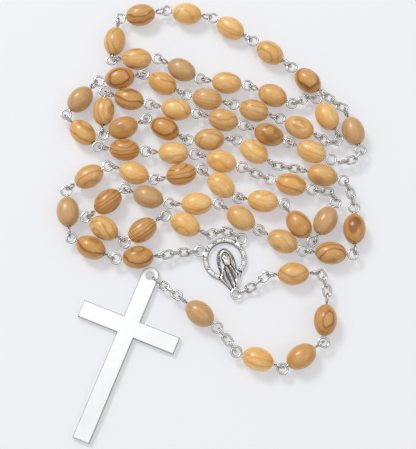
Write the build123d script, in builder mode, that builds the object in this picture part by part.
from build123d import *
import math
import os

# A five-decade rosary laid out on a table: 59 oval wooden beads on wire pins, cable-chain links,
# a cast centre medal and a plain cross. Millimetres, +Z up, table at z = 0.

# ---- sizes -------------------------------------------------------------------------------------
bead_length = 8.0
bead_diameter = 6.0
bead_bore = 1.0
bead_rim = 0.15  # how much of the oval's tip is cut off at each mouth of the bore

wire = 0.6  # every pin, eye and link is bent from this wire
play = 0.1  # gap between two wires that hook into each other when the strand is taut
eye_outer = 3.0  # eye of a pin, measured along the strand
eye_flat = 0.3  # straight stretch at the tip of an eye
neck = 0.3  # bare shank between a bead and its eye
link_length = 3.5
link_width = 2.5
link_corner = 0.75  # corner radius of a link's centre line

cross_length = 48.0
cross_span = 27.0
cross_bar = 4.7
cross_thick = 1.65
cross_hole = 2.5
cross_tab = 0.8  # thickness left around the hole, the rest is relieved at the back
cross_to_arms = 14.6  # from the hole to the middle of the arms
cross_edge = 0.25

medal_outer = 11.6
medal_inner = 8.9
medal_thick = 1.5
medal_lip = 0.2
medal_ear = 3.2
medal_ear_hole = 1.9
medal_ear_thick = 0.8
ear_side = 5.8
ear_rise = 3.9
foot_drop = 9.9
boss_count = 12

slack_eye = 0.9  # how far a loosely lying eye may stand off its neighbour
slack_link = 0.25
bead_gap = 0.2
open_after = "chain_3b"  # the loop is left unhooked after this run of links
open_gap = 0.25  # clearance between the two loops that are left unhooked

# ---- values that follow from the sizes ---------------------------------------------------------
hook = wire + play
pin_reach = bead_length + 2 * (neck + eye_outer - wire / 2)
link_reach = link_length - wire
axis_height = bead_diameter / 2
low_height = link_width / 2
ear_lead = medal_ear_hole / 2 - play - wire / 2
cross_lead = cross_hole / 2 - play - wire / 2
bead_form = bead_length / 2 + bead_rim

# ---- where the medal and the cross lie ---------------------------------------------------------
medal_at = (0.0, 1.3)
medal_turn = 17.0
cross_at = (-19.7, -3.4)
cross_turn = -111.7


def on_medal(u, v):
    """A point of the medal's own front view, u to its right and v up, on the table."""
    c, s = math.cos(math.radians(medal_turn)), math.sin(math.radians(medal_turn))
    return (medal_at[0] + u * c - v * s, medal_at[1] + u * s + v * c)


left_ear = on_medal(-ear_side, ear_rise)
right_ear = on_medal(ear_side, ear_rise)
foot_eye = on_medal(0, -foot_drop)

# ---- the strand, in order: bead centres are the route it was laid along -------------------------
decade_1 = [(-24, 5), (-37.5, 8), (-47, 18), (-42, 26.5), (-28, 26), (-14, 22), (-1, 19),
            (12, 16), (24, 11), (30, 14)]
decade_2 = [(-2, 26), (-15, 29), (-28, 31), (-41, 36), (-40, 45), (-29, 49), (-16, 46),
            (-3, 43), (10, 39), (22, 34)]
decade_3 = [(12, 45), (-1, 49), (-14, 52), (-27, 55), (-32, 63), (-23, 71), (-10, 72),
            (2, 67), (13, 60), (23, 51)]
decade_4 = [(25, 28), (12, 32), (-1, 36), (-13, 40), (-26, 43), (-35, 40), (-29, 37),
            (-17, 36), (-4, 32), (8, 28)]
decade_5 = [(35, 9), (27, 4), (14, 8), (2, 12), (-11, 16), (-22, 19), (-34, 20), (-35, 14.5),
            (-23, 11.5), (-10.5, 10.5)]


def chain(name, count):
    """Links of one run of chain: (run, kind, place it should lie at)."""
    return [(name, "link", None)] * count


def beads(name, places, kind="twisted"):
    """Beads with their pins. A twisted pin has its two eyes a quarter turn apart."""
    return [(name, kind, place) for place in places]


loop_strand = (
    chain("chain_medal_left", 4)
    + beads("decade_1", decade_1)
    + chain("chain_1a", 3)
    + beads("father_1", [(18, 20)], "plain")
    + chain("chain_1b", 3)
    + beads("decade_2", decade_2)
    + chain("chain_2a", 3)
    + beads("father_2", [(29, 36)])
    + chain("chain_2b", 3)
    + beads("decade_3", decade_3)
    + chain("chain_3a", 3)
    + beads("father_3", [(35, 37)])
    + chain("chain_3b", 3)
    + beads("decade_4", decade_4)
    + chain("chain_4a", 3)
    + beads("father_4", [(27, 23)])
    + chain("chain_4b", 3)
    + beads("decade_5", decade_5)
    + chain("chain_medal_right", 4)
)
tail_strand = (
    chain("tail_top", 4)
    + beads("tail_bead_1", [(18, -3)], "plain")
    + chain("tail_upper", 3)
    + beads("tail_bead_2", [(26, -15)])
    + beads("tail_bead_3", [(20, -24)])
    + beads("tail_bead_4", [(9, -26)])
    + chain("tail_lower", 3)
    + beads("tail_bead_5", [(-6, -14)])
    + chain("tail_cross", 4)
)


def element_list(strand, start_lead, end_lead):
    """Each element's two eyes, flat or upright by turns, and the length between its two pivots."""
    elements = []
    flat = False
    for name, kind, place in strand:
        first = flat
        last = (not flat) if kind == "twisted" else flat
        reach = link_reach if kind == "link" else pin_reach
        slack = slack_link * 2 if kind == "link" else slack_eye
        flats = int(first) + int(last)
        elements.append(
            {
                "name": name,
                "kind": kind,
                "place": place,
                "first_flat": first,
                "last_flat": last,
                "reach": reach,
                "longest": reach - hook * flats,
                "slack": slack if flats else 0.0,
                "lead_in": 0.0,
                "lead_out": 0.0,
                "unhooked": None,
            }
        )
        flat = not last
    elements[0]["lead_in"] = start_lead
    elements[-1]["lead_out"] = end_lead
    for element in (elements[0], elements[-1]):
        element["longest"] += element["lead_in"] + element["lead_out"]
        element["slack"] = 0.0
    return elements


def unhook(elements):
    """Draws two neighbours apart, so that their loops lie end to end and not through each other."""
    last = max(k for k, element in enumerate(elements) if element["name"] == open_after)
    for element, end in ((elements[last], "last_flat"), (elements[last + 1], "first_flat")):
        if element[end]:
            element["longest"] += hook + wire + open_gap
            element["slack"] = 0.0
            element["unhooked"] = end


def tip_offset(element, length):
    """How far the first tip lies past the first pivot."""
    if element["unhooked"] == "first_flat":
        return wire + open_gap
    if not element["first_flat"]:
        return element["lead_in"]
    spare = max(0.0, element["longest"] - length)
    return element["lead_in"] - hook - spare / (1 + int(element["last_flat"]))


def first_guess(elements, start, end):
    """Pivots between neighbouring elements, before the strand is settled."""
    count = len(elements)
    places = [element["place"] for element in elements]
    pivots = [None] * (count + 1)
    pivots[0], pivots[count] = start, end
    for k in range(count):
        if places[k] is None:
            continue
        for side, step in ((k, -1), (k + 1, 1)):
            if pivots[side] is not None:
                continue
            j = k + step
            while 0 <= j < count and places[j] is None:
                j += step
            toward = places[j] if 0 <= j < count else (start if step < 0 else end)
            dx, dy = toward[0] - places[k][0], toward[1] - places[k][1]
            share = pin_reach / 2 / math.hypot(dx, dy)
            if j == k + step and 0 <= j < count:
                share = 0.5
            pivots[side] = (places[k][0] + dx * share, places[k][1] + dy * share)
    k = 0
    while k < count:
        j = k + 1
        while pivots[j] is None:
            j += 1
        for i in range(k + 1, j):
            t = (i - k) / (j - k)
            pivots[i] = tuple(a + (b - a) * t for a, b in zip(pivots[k], pivots[j]))
        k = j
    return [list(p) for p in pivots]


def spots(element, length):
    """What an element covers on the table: (share of its length, radius or None for the bead)."""
    middle = tip_offset(element, length) + element["reach"] / 2
    if element["kind"] == "link":
        width = link_width if element["first_flat"] else wire
        step = (link_length - width) / 2
        return [((middle + step * n) / length, width / 2) for n in (-1, 0, 1)]
    eye = bead_length / 2 + neck + eye_outer / 2
    covered = [(middle / length, None)]
    for sign, flat in ((-1, element["first_flat"]), (1, element["last_flat"])):
        width = eye_outer + eye_flat if flat else wire
        step = max(0.0, (eye_outer - width) / 2)
        covered += [((middle + sign * (eye + step * n)) / length, width / 2) for n in (-1, 1)]
    return covered


def half_width(radius, nx, ny, ux, uy):
    """Half the width of a spot along the direction n, with u along the strand."""
    if radius is not None:
        return radius
    return math.hypot(bead_form * (nx * ux + ny * uy), bead_diameter / 2 * (nx * uy - ny * ux))


def settle(strands, rounds=3600):
    """Lays strands of rigid elements near their places, clear of each other and of the medal."""
    points, pieces, pinned = [], [], set()
    for elements, start, end in strands:
        base = len(points)
        points += first_guess(elements, start, end)
        pinned |= {base, len(points) - 1}
        pieces += [(element, base + k, base + k + 1) for k, element in enumerate(elements)]
    free = [0.0 if i in pinned else 1.0 for i in range(len(points))]
    keep_out = [
        (medal_at, medal_outer / 2),
        (left_ear, medal_ear / 2),
        (right_ear, medal_ear / 2),
        (foot_eye, medal_ear / 2),
        (on_medal(0, -foot_drop * 0.72), 3.0),
    ]
    near = []

    def shift(k, dx, dy):
        points[k][0] += dx * free[k]
        points[k][1] += dy * free[k]

    for turn in range(rounds):
        pull = max(0.0, 1 - turn / (rounds * 0.6)) ** 2
        for element, a, b in pieces:
            if not element["place"] or not pull:
                continue
            x, y = (points[a][0] + points[b][0]) / 2, (points[a][1] + points[b][1]) / 2
            dx, dy = (element["place"][0] - x) * pull, (element["place"][1] - y) * pull
            shift(a, dx, dy)
            shift(b, dx, dy)
        for element, a, b in pieces:
            dx, dy = points[b][0] - points[a][0], points[b][1] - points[a][1]
            length = math.hypot(dx, dy)
            shortest = element["longest"] - element["slack"]
            wanted = min(max(length, shortest), element["longest"])
            if wanted != length:
                give = (length - wanted) / length / (free[a] + free[b])
                shift(a, dx * give, dy * give)
                shift(b, -dx * give, -dy * give)
        for (one, a, b), (other, b_again, c) in zip(pieces, pieces[1:]):
            if b != b_again:
                continue
            links = (one["kind"] == "link") + (other["kind"] == "link")
            bend = math.cos(math.radians((115, 60, 55)[links]))
            long_1, long_2 = one["longest"], other["longest"]
            least = math.sqrt(long_1**2 + long_2**2 + 2 * long_1 * long_2 * bend)
            dx, dy = points[c][0] - points[a][0], points[c][1] - points[a][1]
            length = math.hypot(dx, dy)
            if length < least and free[a] + free[c]:
                give = (least - length) / length / (free[a] + free[c]) / 2
                shift(a, -dx * give, -dy * give)
                shift(c, dx * give, dy * give)
        covered = []
        for n, (element, a, b) in enumerate(pieces):
            dx, dy = points[b][0] - points[a][0], points[b][1] - points[a][1]
            length = math.hypot(dx, dy)
            for share, radius in spots(element, length):
                at = (points[a][0] + dx * share, points[a][1] + dy * share)
                covered.append((n, at, radius, dx / length, dy / length))
        if turn % 60 == 0:
            near = near_pairs(covered, pieces)
        for p, q in near:
            n, at, radius, ux, uy = covered[p]
            m, to, size, vx, vy = covered[q]
            dx, dy = to[0] - at[0], to[1] - at[1]
            apart = math.hypot(dx, dy)
            if apart > 9:
                continue
            nx, ny = dx / apart, dy / apart
            least = half_width(radius, nx, ny, ux, uy) + half_width(size, nx, ny, vx, vy) + bead_gap
            if apart < least:
                push = (least - apart) / 4
                for piece, sign in ((n, -1), (m, 1)):
                    for k in pieces[piece][1:]:
                        shift(k, sign * push * nx, sign * push * ny)
        for n, at, radius, ux, uy in covered:
            if pieces[n][0]["lead_in"] or pieces[n][0]["lead_out"]:
                continue
            for place, size in keep_out:
                dx, dy = at[0] - place[0], at[1] - place[1]
                apart = math.hypot(dx, dy)
                if apart > 12:
                    continue
                nx, ny = dx / apart, dy / apart
                least = size + half_width(radius, nx, ny, ux, uy) + bead_gap
                if apart < least:
                    for k in pieces[n][1:]:
                        shift(k, nx * (least - apart) / 2.5, ny * (least - apart) / 2.5)
    return [(element, tuple(points[a]), tuple(points[b])) for element, a, b in pieces]


def near_pairs(covered, pieces):
    """Pairs of spots that could touch, leaving out the eyes that hook into each other."""
    pairs = []
    for p, (n, at, radius, _, _) in enumerate(covered):
        for q in range(p + 1, len(covered)):
            m, to, size = covered[q][:3]
            hooked = pieces[n][2] == pieces[m][1] and not (radius is None and size is None)
            if n != m and not hooked and math.dist(at, to) < 11:
                pairs.append((p, q))
    return pairs


loop_elements = element_list(loop_strand, ear_lead, ear_lead)
tail_elements = element_list(tail_strand, ear_lead, cross_lead)
unhook(loop_elements)
laid = settle([(loop_elements, left_ear, right_ear), (tail_elements, foot_eye, cross_at)])


# ---- heights: beads hold the pins up, links come down to the medal and the cross ----------------
def smooth(t):
    return t * t * (3 - 2 * t)


def pivot_heights(elements):
    """Height of every pivot of one strand, from the end pieces up to the beads' axis."""
    count = len(elements)
    heights = [axis_height] * (count + 1)
    for order in (range(count), range(count - 1, -1, -1)):
        run = []
        for k in order:
            if elements[k]["kind"] != "link":
                break
            run.append(k)
        if elements[run[0]]["lead_in"] == 0 and elements[run[0]]["lead_out"] == 0:
            continue
        for n, k in enumerate(run):
            height = low_height + (axis_height - low_height) * smooth(n / len(run))
            heights[k if order.step > 0 else k + 1] = height
    return heights


def placed(element, start, end):
    """The plane an element is built on: origin at its first tip, X along it, Z up."""
    along = Vector(*end) - Vector(*start)
    offset = tip_offset(element, along.length)
    along = along.normalized()
    side = Vector(0, 0, 1).cross(along).normalized()
    return Plane(origin=Vector(*start) + along * offset, x_dir=along, z_dir=along.cross(side))


loop_count = len(loop_elements)
heights = pivot_heights(loop_elements), pivot_heights(tail_elements)
strand_frames = []
for k, (element, start, end) in enumerate(laid):
    rise, n = (heights[0], k) if k < loop_count else (heights[1], k - loop_count)
    strand_frames.append((element, placed(element, (*start, rise[n]), (*end, rise[n + 1]))))


# ---- unit shapes, each with its first tip on the origin and reaching along X --------------------
def wire_loop(reach, width, corner):
    """A closed loop of wire in the XY plane with rounded corners."""
    with BuildPart() as loop:
        for x in (0, reach):
            if width > 2 * corner:
                with Locations((x, 0)):
                    Cylinder(wire / 2, width - 2 * corner, rotation=(90, 0, 0))
        if reach > 2 * corner + 0.01:
            with Locations((reach / 2, width / 2), (reach / 2, -width / 2)):
                Cylinder(wire / 2, reach - 2 * corner, rotation=(0, 90, 0))
        inset = width / 2 - corner
        for x, y, turn in (
            (reach - corner, inset, 0),
            (corner, inset, 90),
            (corner, -inset, 180),
            (reach - corner, -inset, 270),
        ):
            with Locations(Location((x, y, 0), (0, 0, turn))):
                Torus(corner, wire / 2, major_angle=90, align=None)
    return loop.part


upright = Rot(90, 0, 0)
flat_link = wire_loop(link_reach, link_width - wire, link_corner)
eye_reach = eye_outer - wire
flat_eye = wire_loop(eye_reach, eye_reach + eye_flat, eye_reach / 2)


def pin(first_flat, last_flat):
    """A straight shank with an eye at each end."""
    first = flat_eye if first_flat else upright * flat_eye
    last = flat_eye if last_flat else upright * flat_eye
    with BuildPart() as body:
        add(first)
        add(last.moved(Location((pin_reach - eye_reach, 0, 0))))
        with Locations((pin_reach / 2, 0)):
            Cylinder(wire / 2, pin_reach - 2 * eye_reach, rotation=(0, 90, 0))
    return body.part


with BuildPart() as bead:
    with BuildSketch(Plane.XZ):
        Ellipse(bead_form, bead_diameter / 2)
        Rectangle(bead_length, bead_diameter, mode=Mode.INTERSECT)
        with Locations((0, bead_bore / 4 - bead_diameter / 4)):
            Rectangle(bead_length + 1, bead_diameter / 2 + bead_bore / 2, mode=Mode.SUBTRACT)
    revolve(axis=Axis.X)

pins = {(a, b): pin(a, b) for a in (False, True) for b in (False, True)}
bead_shape = bead.part.moved(Location((pin_reach / 2, 0, 0)))

# ---- the cross, its hole on the origin and its foot toward +X ------------------------------------
foot = cross_length - cross_bar / 2
with BuildPart() as cross_blank:
    with BuildSketch():
        with Locations((foot / 2, 0)):
            Rectangle(foot, cross_bar)
        Circle(cross_bar / 2)
        with Locations((cross_to_arms, 0)):
            Rectangle(cross_bar, cross_span)
    extrude(amount=cross_thick)
    front = cross_blank.faces().sort_by(Axis.Z)[-1]
    chamfer(front.edges(), cross_edge)
    with BuildSketch():
        Circle(cross_hole / 2)
    extrude(amount=cross_thick, mode=Mode.SUBTRACT)
    with BuildSketch():
        with Locations((-cross_bar / 4, 0)):
            Rectangle(cross_bar * 1.5, cross_bar + 1)
    extrude(amount=cross_thick - cross_tab, mode=Mode.SUBTRACT)

# ---- the medal, in its own front view: u to the right, v up --------------------------------------
ring_middle = (medal_outer + medal_inner) / 4
ear_low = low_height - medal_ear_thick / 2
boss_radius = (medal_outer - medal_inner) / 4 * 0.8
with BuildPart() as medal_blank:
    with BuildSketch():
        Circle(medal_outer / 2)
        Circle(medal_inner / 2, mode=Mode.SUBTRACT)
    extrude(amount=medal_thick)
    with BuildSketch(Plane.XY.offset(medal_thick)):
        Circle(medal_outer / 2)
        Circle(medal_outer / 2 - 0.25, mode=Mode.SUBTRACT)
        Circle(medal_inner / 2 + 0.25)
        Circle(medal_inner / 2, mode=Mode.SUBTRACT)
    extrude(amount=medal_lip)
    with PolarLocations(ring_middle, boss_count, start_angle=15):
        with Locations((0, 0, medal_thick - boss_radius * 0.3)):
            Sphere(boss_radius)
    # side bands from the ring down to the foot eye
    for side in (-1, 1):
        with BuildSketch():
            with BuildLine():
                Polyline(
                    (side * 3.9, -4.2),
                    (side * 2.6, -5.1),
                    (side * 0.5, -8.6),
                    (side * 1.4, -9.2),
                    close=True,
                )
            make_face()
        extrude(amount=medal_thick)
    # robe, mantle and veil in three rising layers
    with BuildSketch():
        with BuildLine():
            Spline((0, 3.3), (1.9, 2.0), (2.3, 0.2), (2.5, -2.6), (1.9, -5.8), (0.7, -8.9))
            Line((0.7, -8.9), (-0.7, -8.9))
            Spline((-0.7, -8.9), (-1.9, -5.8), (-2.5, -2.6), (-2.3, 0.2), (-1.9, 2.0), (0, 3.3))
        make_face()
    extrude(amount=medal_thick * 0.75)
    with BuildSketch(Plane.XY.offset(medal_thick * 0.5)):
        with BuildLine():
            Spline((0, 2.9), (1.35, 1.8), (1.5, 0.2), (1.7, -2.6), (1.2, -5.8), (0.4, -8.6))
            Line((0.4, -8.6), (-0.4, -8.6))
            Spline((-0.4, -8.6), (-1.2, -5.8), (-1.7, -2.6), (-1.5, 0.2), (-1.35, 1.8), (0, 2.9))
        make_face()
    extrude(amount=medal_thick * 0.5)
    with Locations((0, 1.1, medal_thick)):
        Sphere(0.85)
    for spot in ((-ear_side, ear_rise), (ear_side, ear_rise), (0, -foot_drop)):
        with BuildSketch(Plane.XY.offset(ear_low)):
            with Locations(spot):
                Circle(medal_ear / 2)
        extrude(amount=medal_ear_thick)
    for spot in ((-ear_side, ear_rise), (ear_side, ear_rise), (0, -foot_drop)):
        with BuildSketch():
            with Locations(spot):
                Circle(medal_ear_hole / 2)
        extrude(amount=medal_thick * 2, mode=Mode.SUBTRACT)

# ---- every piece in its place --------------------------------------------------------------------
link_shapes = {True: flat_link, False: upright * flat_link}
pieces = {"medal": [medal_blank.part.moved(Location((*medal_at, 0), (0, 0, medal_turn)))]}
pieces["cross"] = [cross_blank.part.moved(Location((*cross_at, 0), (0, 0, cross_turn)))]
split_runs = ("tail_top", "tail_upper", "tail_lower", "tail_cross")
for element, plane in strand_frames:
    name, spot = element["name"], plane.location
    if element["kind"] == "link":
        shape = link_shapes[element["first_flat"]].moved(spot)
        if name in split_runs:
            name += f"_{sum(key.startswith(name) for key in pieces) + 1}"
        pieces.setdefault(name, []).append(shape)
    else:
        both = element["first_flat"], element["last_flat"]
        pieces.setdefault(f"{name}_pin" + ("s" if "decade" in name else ""), []).append(pins[both].moved(spot))
        pieces.setdefault(name + ("_beads" if "decade" in name else ""), []).append(bead_shape.moved(spot))

box = Compound([shape for shapes in pieces.values() for shape in shapes]).bounding_box()
centred = Location((-(box.min.X + box.max.X) / 2, -(box.min.Y + box.max.Y) / 2, -box.min.Z))

os.makedirs("parts", exist_ok=True)
for name, shapes in pieces.items():
    node = Compound(label=name, children=[shape.moved(centred) for shape in shapes])
    export_step(node, f"parts/{name}.step")
